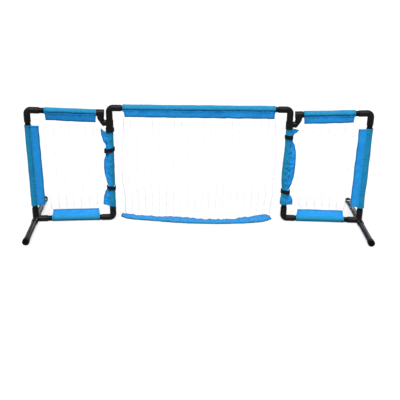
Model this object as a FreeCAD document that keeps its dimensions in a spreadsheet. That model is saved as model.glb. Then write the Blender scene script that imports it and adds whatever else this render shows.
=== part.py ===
import FreeCAD, Part
import math
import os

import Sketcher

# A free-standing play net of three panels, made of plastic tube, moulded fittings and cloth.
# The middle panel hangs between two posts. Each post carries a wing that swings about it.
# Millimetres. +Z is up, +X runs along the net and -Y is its front. The floor is z = 0.
# The origin is on the floor under the middle of the net, on the line through both corner hubs.

SIZES = [
    ("tube_od", 25.0, "outside diameter of every tube"),
    ("tube_wall", 2.0, "wall of every tube"),
    ("fitting_wall", 2.0, "wall of a moulded socket"),
    ("socket_gap", 0.05, "clearance per side of a tube pushed into a socket"),
    ("pivot_gap", 0.08, "running clearance per side of a post in the elbow that turns on it"),
    ("thrust_gap", 0.3, "play along the post between its tee and the elbow above"),
    ("fitting_reach", 52.0, "corner centre of a fitting to the mouth of its sockets"),
    ("socket_depth", 33.0, "mouth of a socket to the step that stops the tube"),
    ("bend_radius", 17.0, "radius of an elbow's centre line"),
    ("post_spacing", 790.0, "distance between the axes of the two inner posts"),
    ("rail_height", 523.0, "floor to the axis of the middle rail"),
    ("wing_span", 350.0, "inner post axis to outer post axis"),
    ("wing_rail_rise", 14.0, "rise of the wing's top rail from the tee's neck to the outer post"),
    ("wing_angle", 4.0, "degrees that each wing stands forward of the middle panel"),
    ("foot_reach", 264.0, "hub centre to the outer face of a foot's cap"),
    ("cap_length", 22.0, "length of a foot cap"),
    ("cap_wall", 2.0, "wall and closed end of a foot cap"),
    ("cap_rounding", 1.5, "rounded edge of a foot cap"),
    ("tee_sleeve_wall", 4.0, "wall of the tee's sleeve round the post"),
    ("tee_sleeve_length", 33.0, "length of the tee's sleeve along the post"),
    ("tee_arm_od", 26.0, "outside diameter of the arm between sleeve and neck"),
    ("tee_arm_drop", 13.5, "top of the tee's sleeve to the arm's axis"),
    ("tee_offset", 38.0, "post axis to the axis of the tee's neck"),
    ("tee_neck_od", 30.0, "outside diameter of the tee's neck"),
    ("tee_neck_rise", 44.8, "axis of the tee's arm to the axis of the rail in its neck"),
    ("tee_heel", 1.0, "underside of the arm to the foot of the neck"),
    ("tee_socket_wall", 3.0, "wall of the tee's rail socket"),
    ("tee_socket_length", 33.0, "length of the tee's rail socket"),
    ("tee_socket_floor", 3.5, "closed end of the tee's rail socket"),
    ("tee_mitre_width", 25.0, "width of the cut-off corner below the neck"),
    ("tee_mitre_height", 36.0, "height of the cut-off corner below the neck"),
    ("tee_throat", 5.0, "fillet radius between arm and neck"),
    ("cloth_thickness", 0.7, "cloth of a sleeve round its tube"),
    ("cloth_gap", 0.3, "slack of cloth against what it touches"),
    ("flap_reach", 42.0, "tube axis to the folded edge of a sleeve's flap"),
    ("flap_thickness", 2.0, "doubled cloth of a flap"),
    ("bare_middle", 12.0, "bare middle rail beside its elbows"),
    ("bare_tee", 2.0, "bare wing rail beside the tee"),
    ("bare_top", 20.0, "bare wing rail beside the outer elbow"),
    ("bare_post_high", 15.0, "bare outer post under its elbow"),
    ("bare_post_low", 10.5, "bare outer post above its hub"),
    ("bare_bottom_inner", 8.0, "bare bottom rail beside the inner elbow"),
    ("bare_bottom_outer", 20.0, "bare bottom rail beside the hub"),
    ("bare_inner_post", 10.0, "bare inner post above its bottom elbow"),
    ("strap_width", 20.0, "width of a hook-and-loop strap"),
    ("strap_thickness", 2.5, "thickness of a closed strap"),
    ("wrap_thickness", 1.2, "cloth of a wrap round its post"),
    ("wrap_fold", 3.0, "radius of the folded outer edge of a wrap"),
    ("wrap_waist", 21.0, "post axis to a wrap's edge where a strap gathers it"),
    ("left_ear", 40.0, "post axis to the loose top corner of the left wrap"),
    ("left_ear_height", 14.0, "loose top corner of the left wrap above its top strap's lower edge"),
    ("left_belly", 33.0, "post axis to the left wrap's edge midway between its straps"),
    ("left_skirt", 42.0, "post axis to the left wrap's edge at its lower end"),
    ("right_ear", 38.5, "post axis to the loose top corner of the right wrap"),
    ("right_ear_height", 10.0, "height of the right wrap's loose top corner"),
    ("right_belly", 39.0, "post axis to the right wrap's edge midway between its straps"),
    ("right_skirt", 35.0, "post axis to the right wrap's edge at its lower end"),
    ("right_puff", 4.5, "swell of the right wrap round its post midway between its straps"),
    ("left_middle_strap_drop", 106.0, "tee to the middle of the left wing's second strap"),
    ("left_low_strap_rise", 93.5, "bottom elbow's mouth to the middle of the left wing's last strap"),
    ("right_high_strap_drop", 36.5, "tee to the middle of the right wing's first strap"),
    ("right_low_strap_rise", 79.5, "bottom elbow's mouth to the middle of the right wing's last strap"),
    ("net_mesh", 34.5, "pitch of the net's square mesh"),
    ("net_strand", 2.4, "width of a strand of net"),
    ("net_thickness", 1.2, "thickness of the net"),
    ("hem_length", 706.0, "overall length of the hem on the floor"),
    ("hem_width", 54.0, "width of the hem"),
    ("hem_thickness", 6.0, "height of the hem as it lies"),
    ("hem_bow", 58.0, "depth of the hem's bow, seen from above"),
    ("hem_forward", 22.0, "how far the middle of the hem lies in front of the posts"),
]

doc = FreeCAD.newDocument("play_net")
sheet = doc.addObject("Spreadsheet::Sheet", "Sizes")
for row, (alias, number, meaning) in enumerate(SIZES, start=1):
    sheet.set(f"A{row}", alias)
    sheet.set(f"B{row}", str(number))
    sheet.setAlias(f"B{row}", alias)
    sheet.set(f"C{row}", meaning)
doc.recompute()


def size(alias):
    """A driving size, read from the sheet."""
    return float(getattr(sheet, alias))


# Derived sizes, as formulas on the sheet.
STOP = "(Sizes.fitting_reach - Sizes.socket_depth)"
FITTING_R = "(Sizes.tube_od / 2 + Sizes.socket_gap + Sizes.fitting_wall)"
SOCKET_R = "(Sizes.tube_od / 2 + Sizes.socket_gap)"
PIVOT_R = "(Sizes.tube_od / 2 + Sizes.pivot_gap)"
PASSAGE_R = "(Sizes.tube_od / 2 - Sizes.tube_wall)"
BASE = FITTING_R
HALF_SPACING = "(Sizes.post_spacing / 2)"
TEE_TOP = "(Sizes.rail_height - Sizes.fitting_reach - Sizes.thrust_gap)"
TEE_BOTTOM = f"({TEE_TOP} - Sizes.tee_sleeve_length)"
ARM_HEIGHT = f"({TEE_TOP} - Sizes.tee_arm_drop)"
INNER_RAIL = f"({ARM_HEIGHT} + Sizes.tee_neck_rise)"
OUTER_RAIL = f"({INNER_RAIL} + Sizes.wing_rail_rise)"
RAIL_RUN = "(Sizes.wing_span - Sizes.tee_offset)"
FALL = f"atan(Sizes.wing_rail_rise / {RAIL_RUN})"
POST_Y = "(Sizes.wing_span * sin(Sizes.wing_angle))"


def place(x="0", y="0", z="0", axis="0; 0; 1", angle="0"):
    """Formula of a placement: a move after a turn about an axis."""
    return f"placement(vector({x}; {y}; {z}); rotation(vector({axis}); {angle}))"


# The panels' own frames: middle of the net, and each inner post with +X outwards along its wing.
MIDDLE = place(y=POST_Y)
LEFT = place(x=f"-{HALF_SPACING}", y=POST_Y, angle="180 + Sizes.wing_angle")
RIGHT = place(x=HALF_SPACING, y=POST_Y, angle="-Sizes.wing_angle")

nodes = []


def keep(piece, label, frame, local=None):
    """Names a finished piece and puts it where it belongs in its panel."""
    piece.Label = label
    piece.setExpression("Placement", f"{frame} * {local}" if local else frame)
    nodes.append(piece)
    return piece


def solid(kind, local=None, **formulas):
    """A Part primitive whose sizes are formulas."""
    piece = doc.addObject(f"Part::{kind}", kind)
    for name, formula in formulas.items():
        piece.setExpression(name, formula)
    if local:
        piece.setExpression("Placement", local)
    return piece


def fuse(pieces):
    joined = doc.addObject("Part::MultiFuse", "Joined")
    joined.Shapes = pieces
    return joined


def cut(base, tools):
    """The base with each tool taken out of it."""
    result = doc.addObject("Part::Cut", "Piece")
    result.Base = base
    result.Tool = tools[0] if len(tools) == 1 else fuse(tools)
    return result


def cylinder(radius, height, local=None, **more):
    return solid("Cylinder", local, Radius=radius, Height=height, **more)


ALONG_X = dict(axis="0; 1; 0", angle="90")
ALONG_Y = dict(axis="1; 0; 0", angle="-90")


# Tubes and caps are turned or extruded parts, so each is a body with its own sketch.
def origin_plane(body, role):
    for feature in body.Origin.OriginFeatures:
        if feature.Role == role:
            return feature
    raise LookupError(role)


def circle_sketch(body, radii):
    """Circles about the body's axis, each with its radius given by a formula."""
    sketch = body.newObject("Sketcher::SketchObject", "Section")
    sketch.AttachmentSupport = [(origin_plane(body, "XY_Plane"), "")]
    sketch.MapMode = "FlatFace"
    for index, formula in enumerate(radii):
        sketch.addGeometry(Part.Circle(FreeCAD.Vector(), FreeCAD.Vector(0, 0, 1), 10 + index))
        sketch.addConstraint(Sketcher.Constraint("Coincident", index, 3, -1, 1))
        radius = sketch.addConstraint(Sketcher.Constraint("Radius", index, 10 + index))
        sketch.setExpression(f"Constraints[{radius}]", formula)
    return sketch


def tube(label, length, frame, local):
    """A cut length of plastic tube, standing on its local origin."""
    body = doc.addObject("PartDesign::Body", "Tube")
    sketch = circle_sketch(body, ["Sizes.tube_od / 2", PASSAGE_R])
    pad = body.newObject("PartDesign::Pad", "Extrusion")
    pad.Profile = sketch
    pad.setExpression("Length", length)
    sketch.Visibility = False
    return keep(body, label, frame, local)


def foot_cap(label, frame, local):
    """A moulded cap. Its closed end is its local origin and the foot enters from above."""
    body = doc.addObject("PartDesign::Body", "Cap")
    pad = body.newObject("PartDesign::Pad", "Outside")
    pad.Profile = circle_sketch(body, [FITTING_R])
    pad.setExpression("Length", "Sizes.cap_length")
    pocket = body.newObject("PartDesign::Pocket", "Bore")
    pocket.Profile = circle_sketch(body, [SOCKET_R])
    pocket.Profile[0].setExpression("AttachmentOffset.Base.z", "Sizes.cap_length")
    pocket.setExpression("Length", "Sizes.cap_length - Sizes.cap_wall")
    doc.recompute()
    edges = [f"Edge{i}" for i, edge in enumerate(pocket.Shape.Edges, start=1)
             if edge.BoundBox.ZMax < size("cap_wall") / 2 and edge.Closed]
    rounding = body.newObject("PartDesign::Fillet", "Rounding")
    rounding.Base = (pocket, edges)
    rounding.setExpression("Radius", "Sizes.cap_rounding")
    return keep(body, label, frame, local)


# An elbow has one leg down its -Z and one along its -X. Droop tips the second leg below level.
def elbow(label, frame, local, droop="0 deg", upright_bore=SOCKET_R):
    turn = f"(90 deg + {droop})"
    tangent = f"(Sizes.bend_radius * tan({turn} / 2))"

    def bend(radius):
        centre = place("-Sizes.bend_radius", "0", f"-{tangent}", "1; 0; 0", "90")
        return solid("Torus", centre, Radius1="Sizes.bend_radius", Radius2=radius, Angle3=turn)

    def upright(radius, start, end):
        return cylinder(radius, f"{end} - {start}", place(z=f"-{end}"))

    def level(radius, start, end):
        lean = place(axis="0; 1; 0", angle=f"-(90 deg + {droop})")
        return cylinder(radius, f"{end} - {start}", f"{lean} * {place(z=start)}")

    outside = fuse([bend(FITTING_R),
                    upright(FITTING_R, tangent, "Sizes.fitting_reach"),
                    level(FITTING_R, tangent, "Sizes.fitting_reach")])
    inside = [bend(PASSAGE_R),
              upright(PASSAGE_R, tangent, "Sizes.fitting_reach"),
              level(PASSAGE_R, tangent, "Sizes.fitting_reach"),
              upright(upright_bore, STOP, "Sizes.fitting_reach"),
              level(SOCKET_R, STOP, "Sizes.fitting_reach")]
    return keep(cut(outside, inside), label, frame, local)


# The corner hub takes the outer post above, the bottom rail inwards and a foot on each side.
def corner_hub(label, frame, local):
    def legs(radius, start):
        reach = f"Sizes.fitting_reach - {start}"
        directions = [("0; 0; 1", "0"), ("0; 1; 0", "-90"), ("1; 0; 0", "90"), ("1; 0; 0", "-90")]
        return [cylinder(radius, reach, f"{place(axis=axis, angle=angle)} * {place(z=start)}")
                for axis, angle in directions]

    outside = fuse([solid("Sphere", Radius=FITTING_R)] + legs(FITTING_R, "0"))
    inside = [solid("Sphere", Radius=PASSAGE_R)] + legs(PASSAGE_R, "0") + legs(SOCKET_R, STOP)
    return keep(cut(outside, inside), label, frame, local)


# The offset tee is clamped on the inner post. Its arm turns up to a neck that holds the wing's rail.
def offset_tee(label, frame):
    sleeve_r = f"({SOCKET_R} + Sizes.tee_sleeve_wall)"
    socket_r = f"({SOCKET_R} + Sizes.tee_socket_wall)"
    neck_r = "(Sizes.tee_neck_od / 2)"
    arm_r = "(Sizes.tee_arm_od / 2)"
    arm_foot = f"({ARM_HEIGHT} - {arm_r})"
    neck_foot = f"({arm_foot} + Sizes.tee_heel)"
    inner_side = f"(Sizes.tee_offset - {neck_r})"
    outer_side = f"(Sizes.tee_offset + {neck_r})"
    along_rail = place("Sizes.tee_offset", "0", INNER_RAIL, "0; 1; 0", f"90 deg - {FALL}")
    half_socket = "(Sizes.tee_socket_length / 2)"

    sleeve = cylinder(sleeve_r, "Sizes.tee_sleeve_length", place(z=TEE_BOTTOM))
    arm = cylinder(arm_r, "Sizes.tee_offset", place(z=ARM_HEIGHT, **ALONG_X))
    neck = cylinder(neck_r, f"{INNER_RAIL} - {neck_foot}",
                    place("Sizes.tee_offset", "0", neck_foot))
    socket = cylinder(socket_r, "Sizes.tee_socket_length",
                      f"{along_rail} * {place(z=f'-{half_socket}')}")

    throat_top = f"({ARM_HEIGHT} + {arm_r} + Sizes.tee_throat)"
    web = solid("Box", place(f"{inner_side} - Sizes.tee_throat", f"-{arm_r} / 2", ARM_HEIGHT),
                Length=f"Sizes.tee_throat + {neck_r} / 2", Width=arm_r,
                Height=f"{throat_top} - {ARM_HEIGHT}")
    throat_round = cylinder("Sizes.tee_throat", "Sizes.tee_arm_od",
                            place(f"{inner_side} - Sizes.tee_throat", f"-{arm_r}", throat_top, **ALONG_Y))
    throat = cut(web, [throat_round])

    mitre_slope = "atan(Sizes.tee_mitre_height / Sizes.tee_mitre_width)"
    mitre_start = place(f"{outer_side} - Sizes.tee_mitre_width", "0", arm_foot,
                        "0; 1; 0", f"-{mitre_slope}")
    mitre = solid("Box", f"{mitre_start} * {place('-Sizes.tee_arm_od', f'-{neck_r}', '-Sizes.tee_arm_od')}",
                  Length="2 * Sizes.tee_arm_od + Sizes.tee_mitre_height + Sizes.tee_mitre_width",
                  Width=f"2 * {neck_r}", Height="Sizes.tee_arm_od")
    post_bore = cylinder(SOCKET_R, "Sizes.tee_sleeve_length", place(z=TEE_BOTTOM))
    rail_bore = cylinder(SOCKET_R, "Sizes.tee_socket_length",
                         f"{along_rail} * {place(z=f'Sizes.tee_socket_floor - {half_socket}')}")
    body = cut(fuse([sleeve, arm, neck, socket, throat]), [post_bore, rail_bore, mitre])
    return keep(body, label, frame)


# A sleeve is a cloth tunnel round a tube, sewn shut under it into a doubled flap that holds the net.
def sleeve(label, length, frame, local):
    tunnel_r = "(Sizes.tube_od / 2 + Sizes.cloth_gap)"
    tunnel = cylinder(f"{tunnel_r} + Sizes.cloth_thickness", length)
    flap = solid("Box", place("0", "-Sizes.flap_thickness / 2"),
                 Length="Sizes.flap_reach", Width="Sizes.flap_thickness", Height=length)
    return keep(cut(fuse([tunnel, flap]), [cylinder(tunnel_r, length)]), label, frame, local)


def part_feature(label, shape, frame, local=None):
    piece = doc.addObject("Part::Feature", "Formed")
    piece.Shape = shape
    return keep(piece, label, frame, local)


# Cloth gathered round a post has a drop-shaped outline: round the post and drawn out to a fold.
def drop_outline(height, radius, reach, fold):
    """Outline about the post's axis at a height, with its fold at the given reach along +X."""
    fold_centre = reach - fold
    lift = math.acos((radius - fold) / fold_centre)
    middle = (math.pi + lift) / 2

    def on_post(angle):
        return FreeCAD.Vector(radius * math.cos(angle), radius * math.sin(angle), height)

    def on_fold(angle):
        return FreeCAD.Vector(fold_centre + fold * math.cos(angle), fold * math.sin(angle), height)

    return Part.Wire([
        Part.Arc(on_post(lift), on_post(middle), on_post(math.pi)).toShape(),
        Part.Arc(on_post(math.pi), on_post(-middle), on_post(-lift)).toShape(),
        Part.LineSegment(on_post(-lift), on_fold(-lift)).toShape(),
        Part.Arc(on_fold(-lift), on_fold(0), on_fold(lift)).toShape(),
        Part.LineSegment(on_fold(lift), on_post(lift)).toShape(),
    ])


FITTING_MOUTH = size("tube_od") / 2 + size("socket_gap") + size("fitting_wall") + size("fitting_reach")
TEE_HEAD = size("rail_height") - size("fitting_reach") - size("thrust_gap")
TEE_FOOT = TEE_HEAD - size("tee_sleeve_length")
WRAP_FOOT = FITTING_MOUTH + size("bare_inner_post")
WRAP_TOP = TEE_FOOT - size("cloth_gap")
HALF_STRAP = size("strap_width") / 2
POST_HOLE = size("tube_od") / 2 + size("cloth_gap")
WRAP_R = POST_HOLE + size("wrap_thickness")
WAIST = size("wrap_waist")
BELLY_STEPS = 4

left_straps = {
    "upper": WRAP_TOP - HALF_STRAP,
    "middle": TEE_FOOT - size("left_middle_strap_drop"),
    "lower": FITTING_MOUTH + size("left_low_strap_rise"),
}
right_straps = {
    "upper": TEE_FOOT - size("right_high_strap_drop"),
    "lower": FITTING_MOUTH + size("right_low_strap_rise"),
}


def belly(low, high, reach, puff):
    """Outline sizes of cloth swelling between two straps, from the upper down to the lower."""
    rows = []
    for step in range(1, BELLY_STEPS):
        share = step / BELLY_STEPS
        swell = math.sin(math.pi * share)
        rows.append((high + (low - high) * share, WRAP_R + puff * swell, WAIST + (reach - WAIST) * swell))
    return rows


def waist(middle):
    """Outline sizes at both edges of a strap."""
    return [(middle + HALF_STRAP, WRAP_R, WAIST), (middle - HALF_STRAP, WRAP_R, WAIST)]


def wrap_body(rows):
    """Cloth through the rows of height, radius and reach, open for the post."""
    outlines = [drop_outline(height, radius, reach, size("wrap_fold")) for height, radius, reach in rows]
    cloth = Part.makeLoft(outlines, True, True)
    top, foot = rows[0][0], rows[-1][0]
    hole = Part.makeCylinder(POST_HOLE, top - foot, FreeCAD.Vector(0, 0, foot))
    return cloth.cut(hole)


def left_wrap():
    strap_foot = left_straps["upper"] - HALF_STRAP
    ear_top = strap_foot + size("left_ear_height")
    rows = [(ear_top, WRAP_R, size("left_ear")), (strap_foot, WRAP_R, size("left_ear") - 1.5)]
    rows += waist(left_straps["middle"])
    rows += belly(left_straps["lower"] + HALF_STRAP, left_straps["middle"] - HALF_STRAP,
                  size("left_belly"), 0)
    rows += waist(left_straps["lower"])
    rows.append((WRAP_FOOT, WRAP_R, size("left_skirt")))
    cloth = wrap_body(rows)
    strap_r = WRAP_R + size("cloth_gap") + size("strap_thickness")
    channel = Part.makeCylinder(strap_r + size("cloth_gap"), size("strap_width"),
                                FreeCAD.Vector(0, 0, strap_foot))
    slope = [(0, strap_foot), (size("left_ear"), ear_top), (size("left_ear"), ear_top + HALF_STRAP),
             (0, ear_top + HALF_STRAP)]
    corners = [FreeCAD.Vector(x, -size("left_ear"), z) for x, z in slope + slope[:1]]
    above = Part.Face(Part.makePolygon(corners)).extrude(FreeCAD.Vector(0, 2 * size("left_ear"), 0))
    collar = Part.makeCylinder(WRAP_R, WRAP_TOP - strap_foot, FreeCAD.Vector(0, 0, strap_foot))
    collar = collar.cut(Part.makeCylinder(POST_HOLE, WRAP_TOP - strap_foot,
                                          FreeCAD.Vector(0, 0, strap_foot)))
    return cloth.cut([channel, above]).fuse(collar)


def right_wrap():
    upper = right_straps["upper"]
    rows = [(WRAP_TOP, WRAP_R, size("right_ear") - 1.5),
            (WRAP_TOP - size("right_ear_height"), WRAP_R, size("right_ear"))]
    rows += waist(upper)
    rows += belly(right_straps["lower"] + HALF_STRAP, upper - HALF_STRAP,
                  size("right_belly"), size("right_puff"))
    rows += waist(right_straps["lower"])
    rows.append((WRAP_FOOT, WRAP_R, size("right_skirt")))
    return wrap_body(rows)


def strap(radius, reach, fold):
    """A closed strap over cloth of the given outline, standing on z = 0."""
    def grown(by):
        if reach is None:
            edge = Part.Circle(FreeCAD.Vector(), FreeCAD.Vector(0, 0, 1), radius + by).toShape()
            return Part.Wire([edge])
        return drop_outline(0, radius + by, reach + by, fold + by)

    gap = size("cloth_gap")
    rise = FreeCAD.Vector(0, 0, size("strap_width"))
    outer = Part.Face(grown(gap + size("strap_thickness"))).extrude(rise)
    return outer.cut(Part.Face(grown(gap)).extrude(rise))


# A net is one face with its meshes open, inside a border of one strand. Slivers stay closed.
SMALLEST_MESH = 40.0


def net_panel(outline, left, right, foot, top, columns, rows):
    """Net inside a convex outline of (x, z), its mesh lines fanned evenly up to the line top(x)."""
    half_strand = size("net_strand") / 2

    def clipped(points):
        """The points' polygon, cut back to half a strand inside every side of the outline."""
        for (x1, z1), (x2, z2) in zip(outline, outline[1:] + outline[:1]):
            span = math.hypot(x2 - x1, z2 - z1)

            def depth(point):
                return ((x2 - x1) * (point[1] - z1) - (z2 - z1) * (point[0] - x1)) / span - half_strand

            kept = []
            for here, ahead in zip(points, points[1:] + points[:1]):
                if depth(here) >= 0:
                    kept.append(here)
                if depth(here) * depth(ahead) < 0:
                    share = depth(here) / (depth(here) - depth(ahead))
                    kept.append(tuple(a + (b - a) * share for a, b in zip(here, ahead)))
            points = kept
        return points

    def area(points):
        return abs(sum(x1 * z2 - x2 * z1
                       for (x1, z1), (x2, z2) in zip(points, points[1:] + points[:1]))) / 2

    def mesh_point(column, row, shift_x, shift_z):
        x = left + half_strand + (right - left - 2 * half_strand) * column / columns
        z = foot + half_strand + (top(x) - foot - 2 * half_strand) * row / rows
        return x + shift_x * half_strand, z + shift_z * half_strand

    def wire(points):
        corners = [FreeCAD.Vector(x, -size("net_thickness") / 2, z) for x, z in points]
        return Part.makePolygon(corners + corners[:1])

    holes = []
    for column in range(columns):
        for row in range(rows):
            mesh = [mesh_point(column, row, 1, 1), mesh_point(column, row + 1, 1, -1),
                    mesh_point(column + 1, row + 1, -1, -1), mesh_point(column + 1, row, -1, 1)]
            mesh = clipped(mesh)
            if area(mesh) > SMALLEST_MESH:
                holes.append(wire(mesh))
    face = Part.Face([wire(outline)] + holes)
    return face.extrude(FreeCAD.Vector(0, size("net_thickness"), 0))


def mesh_count(width):
    return max(1, round(width / size("net_mesh")))


def middle_net():
    half = size("post_spacing") / 2 - size("fitting_reach") - size("bare_middle")
    foot = size("hem_thickness") + size("cloth_gap")
    top = size("rail_height") - size("flap_reach") - size("cloth_gap")
    outline = [(-half, foot), (half, foot), (half, top), (-half, top)]
    return net_panel(outline, -half, half, foot, lambda x: top, mesh_count(2 * half),
                     mesh_count(top - foot))


def wing_net(wrap_reach, wrap_top):
    fall = math.atan2(size("wing_rail_rise"), size("wing_span") - size("tee_offset"))
    neck_axis = TEE_HEAD - size("tee_arm_drop") + size("tee_neck_rise")
    gap = size("cloth_gap")

    def top(x):
        axis = neck_axis + (x - size("tee_offset")) * math.tan(fall)
        return axis - (size("flap_reach") + gap) / math.cos(fall)

    left = wrap_reach + gap
    right = size("wing_span") - size("flap_reach") - gap
    foot = FITTING_MOUTH - size("fitting_reach") + size("flap_reach") + gap
    flap_end = size("tee_offset") + size("tee_socket_length") / 2 + size("bare_tee")
    outline = [(left, foot), (right, foot), (right, top(right)), (flap_end, top(flap_end)),
               (left, wrap_top)]
    return net_panel(outline, left, right, foot, top, mesh_count(right - left),
                     mesh_count(top(right) - foot))


# The hem lies on the floor in one bow, with round ends.
def hem(label, frame):
    half_chord = "((Sizes.hem_length - Sizes.hem_width) / 2)"
    bow_radius = f"(({half_chord} * {half_chord} + Sizes.hem_bow * Sizes.hem_bow) / (2 * Sizes.hem_bow))"
    half_angle = f"asin({half_chord} / {bow_radius})"
    centre_y = f"{bow_radius} - Sizes.hem_forward"
    turned = place(y=centre_y, angle=f"-(90 deg + {half_angle})")
    outer = cylinder(f"{bow_radius} + Sizes.hem_width / 2", "Sizes.hem_thickness", turned,
                     Angle=f"2 * {half_angle}")
    inner = cylinder(f"{bow_radius} - Sizes.hem_width / 2", "Sizes.hem_thickness", place(y=centre_y))
    end_y = "Sizes.hem_bow - Sizes.hem_forward"
    ends = [cylinder("Sizes.hem_width / 2", "Sizes.hem_thickness", place(x, end_y))
            for x in (half_chord, f"-{half_chord}")]
    return keep(fuse([cut(outer, [inner])] + ends), label, frame)


def build_middle():
    elbow("middle_left_elbow", MIDDLE,
          place(f"-{HALF_SPACING}", "0", "Sizes.rail_height", angle="180"), upright_bore=PIVOT_R)
    elbow("middle_right_elbow", MIDDLE,
          place(HALF_SPACING, "0", "Sizes.rail_height"), upright_bore=PIVOT_R)
    tube("middle_rail", f"2 * ({HALF_SPACING} - {STOP})", MIDDLE,
         place(f"-({HALF_SPACING} - {STOP})", "0", "Sizes.rail_height", **ALONG_X))
    half = f"({HALF_SPACING} - Sizes.fitting_reach - Sizes.bare_middle)"
    sleeve("middle_sleeve", f"2 * {half}", MIDDLE,
           place(f"-{half}", "0", "Sizes.rail_height", **ALONG_X))
    part_feature("middle_net", middle_net(), MIDDLE)
    hem("middle_hem", MIDDLE)


def build_wing(side, frame, front, straps, wrap, wrap_reach, wrap_top):
    """All pieces of one wing. Front is +1 where the wing's own +Y faces the front of the net."""
    elbow(f"{side}_outer_top_elbow", frame, place("Sizes.wing_span", "0", OUTER_RAIL), droop=FALL)
    elbow(f"{side}_inner_bottom_elbow", frame, place(z=BASE, axis="0; 1; 0", angle="180"))
    corner_hub(f"{side}_corner_hub", frame, place("Sizes.wing_span", "0", BASE))
    offset_tee(f"{side}_offset_tee", frame)

    tube(f"{side}_inner_post", f"Sizes.rail_height - {STOP} - Sizes.thrust_gap - {BASE} - {STOP}",
         frame, place(z=f"{BASE} + {STOP}"))
    tube(f"{side}_outer_post", f"{OUTER_RAIL} - {BASE} - 2 * {STOP}",
         frame, place("Sizes.wing_span", "0", f"{BASE} + {STOP}"))
    tube(f"{side}_bottom_rail", f"Sizes.wing_span - 2 * {STOP}",
         frame, place(STOP, "0", BASE, **ALONG_X))
    seat = "(Sizes.tee_socket_length / 2 - Sizes.tee_socket_floor)"
    along_rail = place("Sizes.tee_offset", "0", INNER_RAIL, "0; 1; 0", f"90 deg - {FALL}")
    rail_length = f"({RAIL_RUN} / cos({FALL}))"
    tube(f"{side}_top_rail", f"{rail_length} - {STOP} + {seat}",
         frame, f"{along_rail} * {place(z=f'-{seat}')}")

    for name, direction in (("front", front), ("rear", -front)):
        outwards = dict(axis="1; 0; 0", angle=str(-90 * direction))
        tube(f"{side}_{name}_foot", f"Sizes.foot_reach - Sizes.cap_wall - {STOP}",
             frame, place("Sizes.wing_span", f"{direction} * {STOP}", BASE, **outwards))
        inwards = dict(axis="1; 0; 0", angle=str(90 * direction))
        foot_cap(f"{side}_{name}_foot_cap",
                 frame, place("Sizes.wing_span", f"{direction} * Sizes.foot_reach", BASE, **inwards))

    sleeve_start = "(Sizes.tee_socket_length / 2 + Sizes.bare_tee)"
    sleeve(f"{side}_top_sleeve",
           f"{rail_length} - Sizes.fitting_reach - Sizes.bare_top - {sleeve_start}",
           frame, f"{along_rail} * {place(z=sleeve_start)}")
    sleeve(f"{side}_outer_sleeve",
           f"{OUTER_RAIL} - {BASE} - 2 * Sizes.fitting_reach"
           " - Sizes.bare_post_high - Sizes.bare_post_low",
           frame, place("Sizes.wing_span", "0", f"{BASE} + Sizes.fitting_reach + Sizes.bare_post_low",
                        angle="180"))
    sleeve(f"{side}_bottom_sleeve",
           "Sizes.wing_span - 2 * Sizes.fitting_reach - Sizes.bare_bottom_inner - Sizes.bare_bottom_outer",
           frame, place("Sizes.wing_span - Sizes.fitting_reach - Sizes.bare_bottom_outer", "0", BASE,
                        "0; 1; 0", "-90"))

    part_feature(f"{side}_inner_wrap", wrap, frame)
    part_feature(f"{side}_net", wing_net(wrap_reach, wrap_top), frame)
    for name, middle in straps.items():
        ring = side == "left" and name == "upper"
        shape = strap(WRAP_R, None if ring else WAIST, size("wrap_fold"))
        part_feature(f"{side}_{name}_strap", shape, frame, place(z=str(middle - HALF_STRAP)))


build_middle()
build_wing("left", LEFT, 1, left_straps, left_wrap(), max(size("left_ear"), size("left_skirt")),
           left_straps["upper"] - HALF_STRAP)
build_wing("right", RIGHT, -1, right_straps, right_wrap(), max(size("right_ear"), size("right_belly")),
           right_straps["upper"] + HALF_STRAP)
doc.recompute()

for item in doc.Objects:
    if "Invalid" in item.State or "Error" in item.State:
        raise RuntimeError(f"{item.Name} ({item.Label}) did not rebuild: {item.State}")

os.makedirs("parts", exist_ok=True)
for node in nodes:
    shape = node.Shape
    if shape.isNull() or not shape.isValid() or not shape.Solids:
        raise RuntimeError(f"{node.Label} is not a valid solid")
    shape.exportStep(f"parts/{node.Label}.step")
    box = shape.BoundBox
    print(f"{node.Label:26s} {len(shape.Solids)} solid {shape.Volume / 1000:9.2f} cm3  "
          f"x {box.XMin:8.2f} {box.XMax:8.2f}  y {box.YMin:8.2f} {box.YMax:8.2f}  "
          f"z {box.ZMin:7.2f} {box.ZMax:7.2f}")
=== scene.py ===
import math

import bmesh
import bpy
from mathutils import Matrix, Vector, noise


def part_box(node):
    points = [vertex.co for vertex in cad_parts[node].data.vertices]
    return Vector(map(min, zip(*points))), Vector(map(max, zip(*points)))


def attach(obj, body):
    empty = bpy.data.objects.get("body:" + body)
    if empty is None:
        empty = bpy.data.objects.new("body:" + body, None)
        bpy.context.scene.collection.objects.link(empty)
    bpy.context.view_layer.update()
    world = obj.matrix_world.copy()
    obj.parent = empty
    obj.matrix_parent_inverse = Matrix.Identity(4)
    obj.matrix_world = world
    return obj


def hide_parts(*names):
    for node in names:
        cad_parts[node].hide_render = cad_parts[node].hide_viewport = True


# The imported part. Its tubes and fittings are the frame that everything below is dressed on.
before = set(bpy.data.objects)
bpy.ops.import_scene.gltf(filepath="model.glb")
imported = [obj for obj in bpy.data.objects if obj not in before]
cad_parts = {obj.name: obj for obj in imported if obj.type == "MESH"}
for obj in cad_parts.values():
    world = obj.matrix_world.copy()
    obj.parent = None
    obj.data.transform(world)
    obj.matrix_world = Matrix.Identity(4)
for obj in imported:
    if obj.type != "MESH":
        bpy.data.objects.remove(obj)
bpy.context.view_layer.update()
MM = 0.001

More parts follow.
